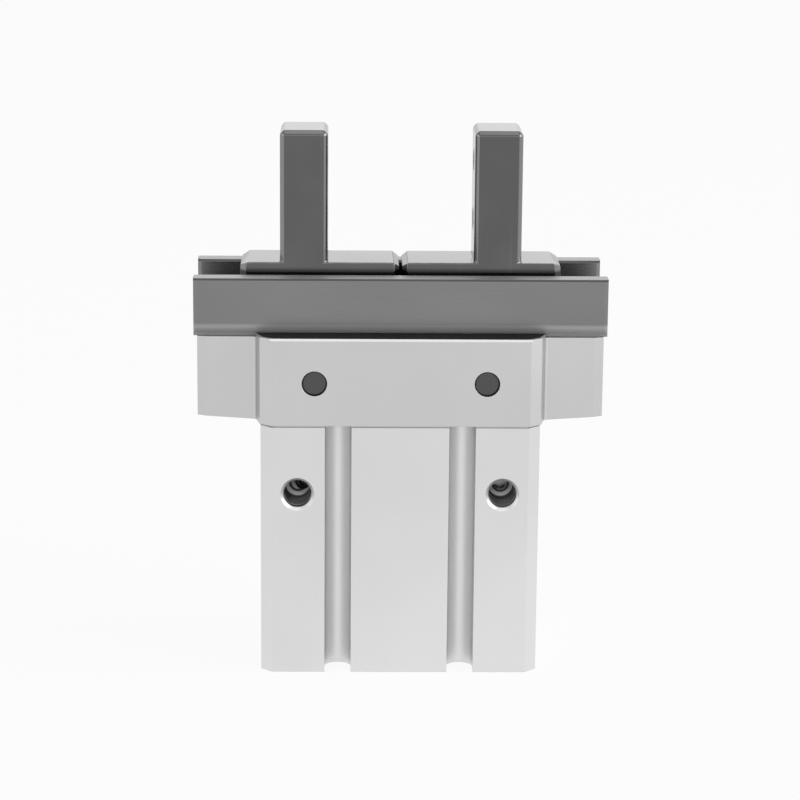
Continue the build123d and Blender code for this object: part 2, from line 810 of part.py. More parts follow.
def make_retaining_ring():
    """An inside circlip with a plier hole in each lug, open towards the front."""
    outer = cap_bore_diameter / 2 + ring_groove_depth - press_gap
    plan = Circle(outer) - Circle(outer - ring_width)
    half_angle = ring_gap_angle / 2
    lug_radius_place = outer - ring_groove_depth - ring_lug_radius - ring_lug_inset
    lug_angle = half_angle + math.degrees(ring_lug_radius / lug_radius_place)
    spread = 2 * outer * math.sin(math.radians(half_angle))
    far = 2 * outer * math.cos(math.radians(half_angle))
    plan -= Polygon((0, 0), (spread, -far), (-spread, -far), align=None)
    for side in (-1, 1):
        place = Rot(0, 0, side * lug_angle) * Pos(0, -lug_radius_place)
        plan += place * Circle(ring_lug_radius)
        plan -= place * Circle(ring_lug_hole)
    return raised(plan, cap_bottom - ring_thickness - press_gap, ring_thickness)


def mirrored(solid):
    return mirror(solid, about=Plane.YZ)


right_side = {
    "lever_pin": make_right_lever_pin(),
    "lever": make_right_lever(),
    "rod_roller": make_right_roller(),
    "roller_pin": make_right_roller_pin(),
    "finger": make_right_finger(),
}
pieces = {
    "body": make_body(),
    "passage_plug": make_passage_plug(),
    "guide_gasket": make_gasket(),
    "guide": make_guide(),
    "guide_screws": Compound(children=make_guide_screws()),
    "guide_dowels": Compound(children=make_dowels()),
    "ball_stop_pins": Compound(children=stop_pins(0.0)),
    "end_cap": make_end_cap(),
    "end_cap_seal": make_end_cap_seal(),
    "retaining_ring": make_retaining_ring(),
    "rod_seal": make_rod_seal(),
    "rod_seal_retainer": make_rod_seal_retainer(),
    "upper_bumper": make_upper_bumper(),
    "lower_bumper": make_lower_bumper(),
    "piston": make_piston(),
    "piston_rod": make_piston_rod(),
    "piston_seal": make_piston_seal(),
    "piston_magnet": make_magnet(),
    "magnet_holder": make_magnet_holder(),
    "piston_screw": make_piston_screw(),
    "crosshead": make_crosshead(),
    "crosshead_screw": make_crosshead_screw(),
}
for name, solid in right_side.items():
    pieces[name + "_right"] = solid
    pieces[name + "_left"] = mirrored(solid)
pieces["ball_rows_right"] = Compound(children=make_right_balls())
pieces["ball_rows_left"] = Compound(children=[mirrored(ball) for ball in make_right_balls()])

os.makedirs("parts", exist_ok=True)
for name, solid in pieces.items():
    export_step(solid, "parts/" + name + ".step")
print("finger travel", finger_stroke, "rod travel", round(rod_travel, 4),
      "lever swing in degrees", round(2 * math.degrees(lever_swing), 4))
print("heights: cap", round(cap_bottom, 3), round(cap_top, 3), "piston", round(holder_bottom, 3),
      round(piston_top, 3), "rod", round(rod_bottom, 3), round(crosshead_bottom, 3))
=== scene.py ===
# %% [markdown]
# A pneumatic gripper, dressed for its portrait.
# The solid parts come ready-made from the drawing office: an aluminium body, a steel guide and
# two steel fingers that slide in it. This lesson gives every one of them its real finish, breaks
# their sharp edges, cuts the screw threads and rounds the guide balls that the drawing leaves
# plain, and lights the whole as in a product picture.

# %% Load the drawn parts
import json
import math

import bmesh
import bpy
from mathutils import Matrix, Vector


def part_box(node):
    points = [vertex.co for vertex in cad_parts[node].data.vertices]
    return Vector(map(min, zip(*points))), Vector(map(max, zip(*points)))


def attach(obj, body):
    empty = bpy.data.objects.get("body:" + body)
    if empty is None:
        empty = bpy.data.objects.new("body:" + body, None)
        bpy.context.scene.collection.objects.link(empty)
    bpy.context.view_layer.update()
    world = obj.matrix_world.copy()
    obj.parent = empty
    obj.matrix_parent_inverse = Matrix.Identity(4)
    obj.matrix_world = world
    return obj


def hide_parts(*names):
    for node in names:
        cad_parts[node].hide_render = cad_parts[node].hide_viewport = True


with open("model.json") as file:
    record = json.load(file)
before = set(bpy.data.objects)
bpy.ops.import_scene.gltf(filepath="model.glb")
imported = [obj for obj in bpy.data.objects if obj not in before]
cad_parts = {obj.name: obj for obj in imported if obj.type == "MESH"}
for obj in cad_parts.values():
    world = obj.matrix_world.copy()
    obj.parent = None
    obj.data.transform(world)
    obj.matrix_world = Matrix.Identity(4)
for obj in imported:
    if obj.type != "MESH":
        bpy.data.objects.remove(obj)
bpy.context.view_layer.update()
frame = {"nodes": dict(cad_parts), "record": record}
nodes = frame["nodes"]

# %% [markdown]
# Where the picture is taken from.
# A long lens far away keeps upright edges nearly parallel, as a catalogue picture does. The
# camera stands a little to the left of the middle, looks down on the gripper by about fourteen
# degrees, and leans by half a degree. Those angles were found by matching the drawn edges to
# the ones in the photograph, so every part falls where it should.

# %% The camera
MM = 0.001
PICTURE_WIDTH_PX = 800
FOCAL_LENGTH_PX = 2848.26
SENSOR_WIDTH = 36.0
CAMERA_PLACE = Vector((-8.585, -426.435, 144.435)) * MM
CAMERA_DOWN = math.radians(13.822)
CAMERA_TURN = 0.0205
CAMERA_LEAN = -0.0086


def aim(down, turn, lean):
    """The rotation of a camera that looks along +Y, turned right, tipped down, then leaned."""
    forward = Vector((math.cos(down) * math.sin(turn), math.cos(down) * math.cos(turn),
                      -math.sin(down)))
    right = Vector((math.cos(turn), -math.sin(turn), 0))
    up = right.cross(forward)
    leaned_right = math.cos(lean) * right - math.sin(lean) * up
    leaned_up = math.sin(lean) * right + math.cos(lean) * up
    return Matrix((leaned_right, leaned_up, -forward)).transposed()


camera = bpy.data.objects.new("camera", bpy.data.cameras.new("camera"))
bpy.context.scene.collection.objects.link(camera)
camera.data.sensor_width = SENSOR_WIDTH
camera.data.lens = FOCAL_LENGTH_PX * SENSOR_WIDTH / PICTURE_WIDTH_PX
camera.data.clip_start = 0.01
turned = aim(CAMERA_DOWN, CAMERA_TURN, CAMERA_LEAN)
camera.matrix_world = Matrix.Translation(CAMERA_PLACE) @ turned.to_4x4()
bpy.context.scene.camera = camera
bpy.context.scene.view_settings.view_transform = "Standard"
print("lens in millimetres", round(camera.data.lens, 2))

# %% [markdown]
# The white surroundings.
# Cut-out pictures stand on pure white. A strength of exactly 1 is white, but it must not light
# the metal too strongly, so the camera, mirrors and glass see that white, while the dull
# reflections get a softer grey sky.

# %% Node helpers and the world
WHITE = (1.0, 1.0, 1.0, 1.0)
SKY_FOR_DULL_LIGHT = 0.45


def add_node(tree, kind, **settings):
    """A node with its settings and socket values given by name."""
    node = tree.nodes.new(kind)
    for key, value in settings.items():
        if hasattr(node, key) and key not in node.inputs:
            setattr(node, key, value)
        else:
            node.inputs[key].default_value = value
    return node


def seen_directly(tree):
    """A mask that is 1 for the camera, for mirror-like reflections and through glass."""
    path = tree.nodes.new("ShaderNodeLightPath")
    either = add_node(tree, "ShaderNodeMath", operation="MAXIMUM")
    tree.links.new(path.outputs["Is Camera Ray"], either.inputs[0])
    tree.links.new(path.outputs["Is Glossy Ray"], either.inputs[1])
    mask = add_node(tree, "ShaderNodeMath", operation="MAXIMUM")
    tree.links.new(either.outputs[0], mask.inputs[0])
    tree.links.new(path.outputs["Is Transmission Ray"], mask.inputs[1])
    return mask.outputs[0]


world = bpy.data.worlds.new("white room")
bpy.context.scene.world = world
world.use_nodes = True
sky = world.node_tree
sky.nodes.clear()
shown = add_node(sky, "ShaderNodeBackground", Color=WHITE, Strength=1.0)
dull = add_node(sky, "ShaderNodeBackground", Color=WHITE, Strength=SKY_FOR_DULL_LIGHT)
choose = sky.nodes.new("ShaderNodeMixShader")
sky.links.new(seen_directly(sky), choose.inputs[0])
sky.links.new(dull.outputs[0], choose.inputs[1])
sky.links.new(shown.outputs[0], choose.inputs[2])
world_out = sky.nodes.new("ShaderNodeOutputWorld")
sky.links.new(choose.outputs[0], world_out.inputs[0])
print("world nodes", len(sky.nodes))

# %% [markdown]
# The floor.
# A pale sheet lies under the gripper. Most of what the camera sees of it glows at plain white,
# and a small share is really lit, which is what lets a faint shadow show.

# %% The floor
FLOOR_HALF_WIDTH = 1.5
FLOOR_DROP = 0.02 * MM
FLOOR_GLOW = 0.91
FLOOR_PALE = (0.9, 0.9, 0.9, 1.0)

mesh = bpy.data.meshes.new("floor")
sheet = bmesh.new()
bmesh.ops.create_grid(sheet, x_segments=1, y_segments=1, size=FLOOR_HALF_WIDTH)
bmesh.ops.translate(sheet, verts=sheet.verts, vec=(0, 0, -FLOOR_DROP))
sheet.to_mesh(mesh)
sheet.free()
floor = bpy.data.objects.new("floor", mesh)
bpy.context.scene.collection.objects.link(floor)
paper = bpy.data.materials.new("white paper")
paper.use_nodes = True
tree = paper.node_tree
tree.nodes.clear()
lit = add_node(tree, "ShaderNodeBsdfDiffuse", Color=FLOOR_PALE)
glow = add_node(tree, "ShaderNodeEmission", Color=WHITE, Strength=1.0)
share = add_node(tree, "ShaderNodeMath", operation="MULTIPLY")
share.inputs[1].default_value = FLOOR_GLOW
tree.links.new(seen_directly(tree), share.inputs[0])
blend = tree.nodes.new("ShaderNodeMixShader")
tree.links.new(share.outputs[0], blend.inputs[0])
tree.links.new(lit.outputs[0], blend.inputs[1])
tree.links.new(glow.outputs[0], blend.inputs[2])
paper_out = tree.nodes.new("ShaderNodeOutputMaterial")
tree.links.new(blend.outputs[0], paper_out.inputs["Surface"])
floor.data.materials.append(paper)
print("floor half width", FLOOR_HALF_WIDTH)

# %% [markdown]
# The lamps.
# The right-hand chamfers of the body are its brightest faces, so the key lamp stands low on the
# right, where a chamfer mirrors it towards the camera. It is very broad and weak, so that the
# right side, which faces it squarely, keeps its grey. Another lamp hangs above and one stands
# behind, for the flat tops of the steel parts, and the last two fill from the front and the
# left. All are large squares, because soft light suits satin metal. Their powers were weighed
# by rendering each lamp alone and adding the pictures up.

# %% The lamps
AIM_POINT = Vector((0, 0, 0.045))


def area_lamp(name, place, size, power):
    """A square lamp that faces the middle of the gripper and isn't seen itself."""
    data = bpy.data.lights.new(name, "AREA")
    data.shape = "SQUARE"
    data.size = size
    data.energy = power
    lamp = bpy.data.objects.new(name, data)
    bpy.context.scene.collection.objects.link(lamp)
    lamp.location = place
    lamp.rotation_euler = (AIM_POINT - Vector(place)).to_track_quat("-Z", "Y").to_euler()
    lamp.visible_camera = False
    return lamp


lamps = [
    area_lamp("key lamp", (1.15, -0.3, 0.62), 1.1, 8.5),
    area_lamp("top lamp", (0.0, 0.0, 0.9), 0.6, 1.0),
    area_lamp("back lamp", (0.0, 1.2, 0.5), 0.6, 0.5),
    area_lamp("front lamp", (0.1, -0.9, 0.3), 0.5, 0.4),
    area_lamp("left lamp", (-0.8, -0.3, 0.3), 0.6, 0.6),
]
print("lamps", [lamp.name for lamp in lamps])

# %% [markdown]
# Shared effects.
# Several finishes need the same few effects: a fine grain, soft patches, the straight lines that
# a grinding wheel leaves, the rings that a lathe leaves, and edges made brighter, partly rubbed by
# handling and partly a painted highlight.
# Each is made once as a group of nodes with named inputs, and every finish then places it with
# its own values. The patterns are read in the object's own millimetres, so they stay put when
# a finger slides.

# %% A helper that makes a group
def effect_group(name, inputs, outputs):
    """An empty effect with named input and output sockets."""
    group = bpy.data.node_groups.new(name, "ShaderNodeTree")
    for label, kind, value in inputs:
        socket = group.interface.new_socket(name=label, in_out="INPUT", socket_type=kind)
        socket.default_value = value
    for label in outputs:
        group.interface.new_socket(name=label, in_out="OUTPUT", socket_type="NodeSocketFloat")
    start = group.nodes.new("NodeGroupInput")
    end = group.nodes.new("NodeGroupOutput")
    return group, start, end


def stretched_place(tree, stretch):
    """The place on the object, scaled along each axis by a vector socket."""
    place = tree.nodes.new("ShaderNodeTexCoord")
    mapping = tree.nodes.new("ShaderNodeMapping")
    tree.links.new(place.outputs["Object"], mapping.inputs["Vector"])
    tree.links.new(stretch, mapping.inputs["Scale"])
    return mapping.outputs["Vector"]


def noise_on(tree, place, frequency, detail, roughness=0.5):
    """A noise of some frequency per metre, read at a place."""
    noise = add_node(tree, "ShaderNodeTexNoise", Detail=detail, Roughness=roughness)
    tree.links.new(place, noise.inputs["Vector"])
    tree.links.new(frequency, noise.inputs["Scale"])
    return noise.outputs["Fac"]


def ranged(tree, value, from_low, from_high, to_low=0.0, to_high=1.0):
    """A mask stretched from one range to another and held inside it."""
    node = tree.nodes.new("ShaderNodeMapRange")
    tree.links.new(value, node.inputs["Value"])
    for label, number in (("From Min", from_low), ("From Max", from_high),
                          ("To Min", to_low), ("To Max", to_high)):
        node.inputs[label].default_value = number
    return node.outputs["Result"]


# %% Fine grain and soft patches
EVEN = (1.0, 1.0, 1.0)

fine_grain, start, end = effect_group(
    "fine grain", [("Stretch", "NodeSocketVector", EVEN), ("Frequency", "NodeSocketFloat", 6000.0)],
    ["Grain"])
place = stretched_place(fine_grain, start.outputs["Stretch"])
grain = noise_on(fine_grain, place, start.outputs["Frequency"], 3.0, 0.6)
fine_grain.links.new(ranged(fine_grain, grain, 0.3, 0.7), end.inputs["Grain"])

soft_patches, start, end = effect_group(
    "soft patches", [("Stretch", "NodeSocketVector", EVEN), ("Frequency", "NodeSocketFloat", 60.0)],
    ["Patches"])
place = stretched_place(soft_patches, start.outputs["Stretch"])
cloud = noise_on(soft_patches, place, start.outputs["Frequency"], 2.0)
soft_patches.links.new(ranged(soft_patches, cloud, 0.35, 0.65), end.inputs["Patches"])
print("effects", [group.name for group in bpy.data.node_groups])

# %% [markdown]
# Ground lines.
# A surface grinder drags its wheel one way, so the marks are long in that direction and only
# hundredths of a millimetre apart across it. Noise squeezed along one axis gives the same look.
# Most marks are even, and a few deeper scratches stand out from them.

# %% Ground lines
SCRATCH_FREQUENCY_SHARE = 0.23

ground_lines, start, end = effect_group(
    "ground lines", [("Stretch", "NodeSocketVector", EVEN),
                     ("Frequency", "NodeSocketFloat", 9000.0)],
    ["Lines", "Scratches"])
place = stretched_place(ground_lines, start.outputs["Stretch"])
lines = noise_on(ground_lines, place, start.outputs["Frequency"], 2.0, 0.7)
ground_lines.links.new(ranged(ground_lines, lines, 0.3, 0.7), end.inputs["Lines"])
sparse = add_node(ground_lines, "ShaderNodeMath", operation="MULTIPLY")
sparse.inputs[1].default_value = SCRATCH_FREQUENCY_SHARE
ground_lines.links.new(start.outputs["Frequency"], sparse.inputs[0])
scratches = noise_on(ground_lines, place, sparse.outputs[0], 1.0)
ground_lines.links.new(ranged(ground_lines, scratches, 0.66, 0.76), end.inputs["Scratches"])
print("outputs", [socket.name for socket in end.inputs if socket.name])

# %% [markdown]
# Turned rings.
# A lathe leaves fine rings around its axis. The distance from that axis drives a noise of one
# dimension, so the rings are uneven, as real tool marks are. The place is first moved to the
# part's own axis, which may be turned too.

# %% Turned rings
turned_rings, start, end = effect_group(
    "turned rings", [("Axis Place", "NodeSocketVector", (0.0, 0.0, 0.0)),
                     ("Axis Mask", "NodeSocketVector", (1.0, 1.0, 0.0)),
                     ("Frequency", "NodeSocketFloat", 5000.0)],
    ["Rings"])
place = turned_rings.nodes.new("ShaderNodeTexCoord")
from_axis = add_node(turned_rings, "ShaderNodeVectorMath", operation="SUBTRACT")
turned_rings.links.new(place.outputs["Object"], from_axis.inputs[0])
turned_rings.links.new(start.outputs["Axis Place"], from_axis.inputs[1])
across = add_node(turned_rings, "ShaderNodeVectorMath", operation="MULTIPLY")
turned_rings.links.new(from_axis.outputs[0], across.inputs[0])
turned_rings.links.new(start.outputs["Axis Mask"], across.inputs[1])
radius = add_node(turned_rings, "ShaderNodeVectorMath", operation="LENGTH")
turned_rings.links.new(across.outputs[0], radius.inputs[0])
rings = add_node(turned_rings, "ShaderNodeTexNoise", noise_dimensions="1D", Detail=1.0)
turned_rings.links.new(radius.outputs["Value"], rings.inputs["W"])
turned_rings.links.new(start.outputs["Frequency"], rings.inputs["Scale"])
turned_rings.links.new(ranged(turned_rings, rings.outputs["Fac"], 0.3, 0.7), end.inputs["Rings"])
print("inputs", [socket.name for socket in start.outputs if socket.name])

# %% [markdown]
# Rubbed and lit edges.
# Anodising and blackening wear off first where a part is handled: along its edges, and edges also
# catch the light, so the brighter edges are partly wear and partly a painted highlight. The shader
# can find an edge by comparing the true direction of the surface with one that is rounded over
# a small radius. A ragged noise then breaks the bright line up, so it doesn't look drawn.

# %% Rubbed edges and painted edge highlights
worn_and_lit_edges, start, end = effect_group(
    "worn and lit edges", [("Radius", "NodeSocketFloat", 0.0002),
                     ("Frequency", "NodeSocketFloat", 1500.0)],
    ["Wear"])
rounded = worn_and_lit_edges.nodes.new("ShaderNodeBevel")
rounded.samples = 4
worn_and_lit_edges.links.new(start.outputs["Radius"], rounded.inputs["Radius"])
true_side = worn_and_lit_edges.nodes.new("ShaderNodeNewGeometry")
match = add_node(worn_and_lit_edges, "ShaderNodeVectorMath", operation="DOT_PRODUCT")
worn_and_lit_edges.links.new(rounded.outputs["Normal"], match.inputs[0])
worn_and_lit_edges.links.new(true_side.outputs["True Normal"], match.inputs[1])
edge = ranged(worn_and_lit_edges, match.outputs["Value"], 0.99, 0.85)
place = worn_and_lit_edges.nodes.new("ShaderNodeTexCoord")
ragged = noise_on(worn_and_lit_edges, place.outputs["Object"], start.outputs["Frequency"], 2.0)
broken = add_node(worn_and_lit_edges, "ShaderNodeMath", operation="MULTIPLY")
worn_and_lit_edges.links.new(edge, broken.inputs[0])
worn_and_lit_edges.links.new(ranged(worn_and_lit_edges, ragged, 0.35, 0.6), broken.inputs[1])
worn_and_lit_edges.links.new(broken.outputs[0], end.inputs["Wear"])
print("effects", len(bpy.data.node_groups))

# %% [markdown]
# Building a finish.
# A finish is a material named after the slot it fills. What is the same all over, such as being
# metal, is set on the shader itself. What changes over the surface comes from the effects, in
# three ways: as a blend of two colours, as roughness, and as the height that a bump reads.

# %% Helpers for finishes
LOOKED_EDGE = 0.12 * MM
finishes = {}


def new_finish(slot, constants):
    """A material with a Principled shader, some of whose sockets are set to constants."""
    material = bpy.data.materials.new(slot)
    material.use_nodes = True
    shader = material.node_tree.nodes["Principled BSDF"]
    for label, value in constants.items():
        shader.inputs[label].default_value = value
    finishes[slot] = material
    return material.node_tree, shader


def effect(tree, group, **values):
    """A shared effect placed in a finish; gives its outputs by name."""
    node = tree.nodes.new("ShaderNodeGroup")
    node.node_tree = group
    for label, value in values.items():
        node.inputs[label.replace("_", " ")].default_value = value
    return node.outputs


def grey(level, tint=0.0):
    """A neutral colour, or one that leans a little to blue."""
    return (level, level, level * (1 + tint), 1.0)


def mixed(tree, mask, first, second):
    """One colour where the mask is 0 and another where it is 1."""
    node = add_node(tree, "ShaderNodeMix", data_type="RGBA")
    tree.links.new(mask, node.inputs[0])
    for socket, colour in ((node.inputs[6], first), (node.inputs[7], second)):
        if isinstance(colour, tuple):
            socket.default_value = colour
        else:
            tree.links.new(colour, socket)
    return node.outputs[2]


def sum_of(tree, first, second, share):
    """The first value plus a share of the second."""
    node = add_node(tree, "ShaderNodeMath", operation="MULTIPLY_ADD")
    tree.links.new(second, node.inputs[0])
    node.inputs[1].default_value = share
    tree.links.new(first, node.inputs[2])
    return node.outputs[0]


def product(tree, first, second):
    """Two masks, or two values, multiplied."""
    node = add_node(tree, "ShaderNodeMath", operation="MULTIPLY")
    tree.links.new(first, node.inputs[0])
    tree.links.new(second, node.inputs[1])
    return node.outputs[0]


def raise_surface(tree, shader, height, distance, rounding=0.0):
    """Bumps the surface by a height mask; distance is the real height in metres. A rounding
    above 0 also makes the edges look rounded by that radius."""
    bump = add_node(tree, "ShaderNodeBump", Strength=1.0, Distance=distance)
    tree.links.new(height, bump.inputs["Height"])
    if rounding:
        rounded = add_node(tree, "ShaderNodeBevel", samples=4, Radius=rounding)
        tree.links.new(rounded.outputs["Normal"], bump.inputs["Normal"])
    tree.links.new(bump.outputs["Normal"], shader.inputs["Normal"])


# %% [markdown]
# The anodised body.
# The body is cast and machined aluminium, blasted satin and clear anodised, which gives it an
# even, slightly milky grey. The upper block is painted a little darker than the cylinder below
# it, a painted shade, so the colour changes at the height where the two meet. The cylinder is
# painted paler towards its foot, a painted light from the floor, and the two sensor grooves are
# painted paler, a painted light that lifts the shade inside them. The walls of the air ports are
# painted dark as painted shade, and the bright bands painted where they end are painted
# highlights. The grain is far finer than a millimetre and barely shows, and the edges are a
# little brighter, partly from handling and partly as a painted highlight.

# %% The anodised body
BLOCK_UNDERSIDE = 38.8 * MM
CYLINDER_GREY = 0.69
SHADED_BLOCK_GREY = 0.58
GROOVE_GREY = 0.76
GROOVE_X = 9.33 * MM
GROOVE_HALF_WIDTH = 2.05 * MM
GROOVE_FLOOR_Y = -8.0 * MM
PORT_X, PORT_Z = 15.45 * MM, 28.15 * MM
PORT_REACH = 2.25 * MM
PORT_MOUTH_Y, PAST_MOUTH_Y = -13.3 * MM, -12.6 * MM
PORT_DEEP_Y = -7.5 * MM
PORT_END_Y = -6.0 * MM
PORT_GLINT_BANDS = 12000.0

tree, shader = new_finish("body_anodised", {"Metallic": 1.0})
place = tree.nodes.new("ShaderNodeTexCoord")
split = tree.nodes.new("ShaderNodeSeparateXYZ")
tree.links.new(place.outputs["Object"], split.inputs[0])
# Above this height the block is painted darker than the cylinder: a painted shade.
block_shade_mask = ranged(tree, split.outputs["Z"], BLOCK_UNDERSIDE - 0.35 * MM, BLOCK_UNDERSIDE - 0.25 * MM)
patches = effect(tree, soft_patches, Frequency=45.0)["Patches"]
grain = effect(tree, fine_grain, Frequency=5200.0)["Grain"]
wear_and_highlight = effect(tree, worn_and_lit_edges, Radius=0.22 * MM, Frequency=1800.0)["Wear"]
cylinder = mixed(tree, patches, grey(CYLINDER_GREY * 0.975), grey(CYLINDER_GREY * 1.02, 0.006))
# The cylinder is painted paler towards its foot: painted light from the floor.
floor_light_mask = ranged(tree, split.outputs["Z"], BLOCK_UNDERSIDE, 0.0, 0.0, 0.35)
floor_lit_cylinder = mixed(tree, floor_light_mask, cylinder, grey(0.85))
beside_middle = add_node(tree, "ShaderNodeMath", operation="ABSOLUTE")
tree.links.new(split.outputs["X"], beside_middle.inputs[0])
in_groove = add_node(tree, "ShaderNodeMath", operation="COMPARE")
tree.links.new(beside_middle.outputs[0], in_groove.inputs[0])
in_groove.inputs[1].default_value = GROOVE_X
in_groove.inputs[2].default_value = GROOVE_HALF_WIDTH
in_front = ranged(tree, split.outputs["Y"], GROOVE_FLOOR_Y + 1.0 * MM, GROOVE_FLOOR_Y)
# The grooves are painted paler: a painted light that lifts the shade inside them.
groove_light_mask = product(tree, in_groove.outputs[0], in_front)
groove_lit_body = mixed(tree, groove_light_mask, floor_lit_cylinder, grey(GROOVE_GREY))

# The port walls are painted dark as painted shade, and bright bands at their far end are painted
# highlights.
in_front_view = add_node(tree, "ShaderNodeCombineXYZ")
tree.links.new(beside_middle.outputs[0], in_front_view.inputs["X"])
tree.links.new(split.outputs["Z"], in_front_view.inputs["Z"])
from_port = add_node(tree, "ShaderNodeVectorMath", operation="DISTANCE")
tree.links.new(in_front_view.outputs[0], from_port.inputs[0])
from_port.inputs[1].default_value = (PORT_X, 0.0, PORT_Z)
near_port = ranged(tree, from_port.outputs["Value"], PORT_REACH, PORT_REACH - 0.1 * MM)
past_mouth = ranged(tree, split.outputs["Y"], PORT_MOUTH_Y, PAST_MOUTH_Y)
before_end = ranged(tree, split.outputs["Y"], PORT_END_Y + 0.3 * MM, PORT_END_Y)
port_wall = product(tree, near_port, product(tree, past_mouth, before_end))
# Bright and dark bands where each port ends: painted highlights.
glint_phase = add_node(tree, "ShaderNodeMath", operation="MULTIPLY")
tree.links.new(split.outputs["Y"], glint_phase.inputs[0])
glint_phase.inputs[1].default_value = PORT_GLINT_BANDS
wave = add_node(tree, "ShaderNodeMath", operation="SINE")
tree.links.new(glint_phase.outputs[0], wave.inputs[0])
port_glints = mixed(tree, ranged(tree, wave.outputs[0], -0.6, 0.0), grey(0.12), grey(0.95))
deep = ranged(tree, split.outputs["Y"], PORT_DEEP_Y - 0.1 * MM, PORT_DEEP_Y)
port_shade_and_glints = mixed(tree, deep, grey(0.36), port_glints)
ports_and_grooves_painted = mixed(tree, port_wall, groove_lit_body, port_shade_and_glints)
shaded_block = mixed(tree, patches, grey(SHADED_BLOCK_GREY * 0.98), grey(SHADED_BLOCK_GREY * 1.02, 0.012))
anodised = mixed(tree, block_shade_mask, ports_and_grooves_painted, shaded_block)
flecked = mixed(tree, ranged(tree, grain, 0.0, 1.0, 0.0, 0.04), anodised, grey(0.3))
# Brighter edges: partly wear, partly a painted highlight.
tree.links.new(mixed(tree, ranged(tree, wear_and_highlight, 0, 1, 0, 0.3), flecked, grey(0.8)),
               shader.inputs["Base Color"])
tree.links.new(ranged(tree, sum_of(tree, grain, patches, 0.6), 0.0, 1.6, 0.36, 0.44),
               shader.inputs["Roughness"])
raise_surface(tree, shader, grain, 0.003 * MM, LOOKED_EDGE)
print("body shader nodes", len(tree.nodes))

# %% [markdown]
# The turned aluminium of the end cap, piston and magnet holder.
# These were cut on a lathe from bright bar, so rings about the main axis run over their faces.

# %% Turned aluminium
tree, shader = new_finish("cap_aluminium", {"Metallic": 1.0})
rings = effect(tree, turned_rings, Frequency=7000.0)["Rings"]
grain = effect(tree, fine_grain, Frequency=4000.0)["Grain"]
wear_and_highlight = effect(tree, worn_and_lit_edges, Radius=0.2 * MM)["Wear"]
tinted = mixed(tree, rings, grey(0.50), grey(0.62, 0.01))
# Brighter edges: partly wear, partly a painted highlight.
tree.links.new(mixed(tree, wear_and_highlight, tinted, grey(0.8)), shader.inputs["Base Color"])
tree.links.new(ranged(tree, rings, 0.0, 1.0, 0.24, 0.38), shader.inputs["Roughness"])
raise_surface(tree, shader, sum_of(tree, rings, grain, 0.3), 0.006 * MM)

# %% [markdown]
# The ground steel guide.
# The rail is hardened steel, ground lengthwise and left bare under a film of oil: mid grey, with
# fine lines along X. Its two top lands are ground crosswise and duller, and painted paler as a
# painted light from above. A dark line painted just under their front edges is a painted shade,
# and the eased foot is rougher and painted paler as a painted highlight.

# %% The guide's ground steel
GUIDE_FOOT_LOW = 51.5 * MM
DULL_FOOT_HIGH, DULL_FOOT_LOW = 53.5 * MM, 52.6 * MM
GUIDE_LAND_LOW = 60.285 * MM
GUIDE_LAND_HIGH = 60.298 * MM
SHADE_LINE_Z = 60.14 * MM
SHADE_LINE_REACH = 0.14 * MM
ALONG_X = (0.012, 1.0, 1.0)

tree, shader = new_finish("guide_steel", {"Metallic": 1.0})
place = tree.nodes.new("ShaderNodeTexCoord")
split = tree.nodes.new("ShaderNodeSeparateXYZ")
tree.links.new(place.outputs["Object"], split.inputs[0])
foot = ranged(tree, split.outputs["Z"], DULL_FOOT_HIGH, DULL_FOOT_LOW)
land = ranged(tree, split.outputs["Z"], GUIDE_LAND_LOW, GUIDE_LAND_HIGH)
# A dark line just under the guide's top edge: a painted shade.
shade_line_mask = add_node(tree, "ShaderNodeMath", operation="COMPARE")
tree.links.new(split.outputs["Z"], shade_line_mask.inputs[0])
shade_line_mask.inputs[1].default_value = SHADE_LINE_Z
shade_line_mask.inputs[2].default_value = SHADE_LINE_REACH
marks = effect(tree, ground_lines, Stretch=ALONG_X, Frequency=7000.0)
patches = effect(tree, soft_patches, Stretch=(0.4, 1.0, 1.0), Frequency=90.0)["Patches"]
wear_and_highlight = effect(tree, worn_and_lit_edges, Radius=0.18 * MM)["Wear"]
oiled = mixed(tree, patches, grey(0.205), grey(0.222))
lined = mixed(tree, ranged(tree, marks["Lines"], 0, 1, 0, 0.07), oiled, grey(0.30))
# The foot is painted paler: a painted highlight.
foot_highlight = mixed(tree, foot, lined, grey(0.48))
# Brighter edges: partly wear, partly a painted highlight.
worn_and_lit = mixed(tree, ranged(tree, wear_and_highlight, 0, 1, 0, 0.5), foot_highlight, grey(0.40))
# The top lands are painted paler: painted light from above.
land_light = mixed(tree, land, worn_and_lit, grey(0.38))
tree.links.new(mixed(tree, shade_line_mask.outputs[0], land_light, grey(0.06)),
               shader.inputs["Base Color"])
satin = ranged(tree, sum_of(tree, marks["Lines"], patches, 0.5), 0.0, 1.5, 0.23, 0.31)
coarser = sum_of(tree, sum_of(tree, satin, land, 0.25), foot, 0.7)
tree.links.new(coarser, shader.inputs["Roughness"])
raise_surface(tree, shader, sum_of(tree, marks["Lines"], marks["Scratches"], -0.6),
              0.0005 * MM, LOOKED_EDGE)

# %% [markdown]
# The fingers.
# The same steel, but hardened darker and ground up and down the blades. A few deeper scratches
# run the same way. The upright chamfers are painted paler as a painted highlight, and the lowest
# half millimetre that shows above the rail is painted dark as a painted shade.

# %% The fingers' dark steel
ALONG_Z = (1.0, 1.0, 0.012)
SHADE_BAND_LOW, SHADE_BAND_HIGH = 60.5 * MM, 61.0 * MM

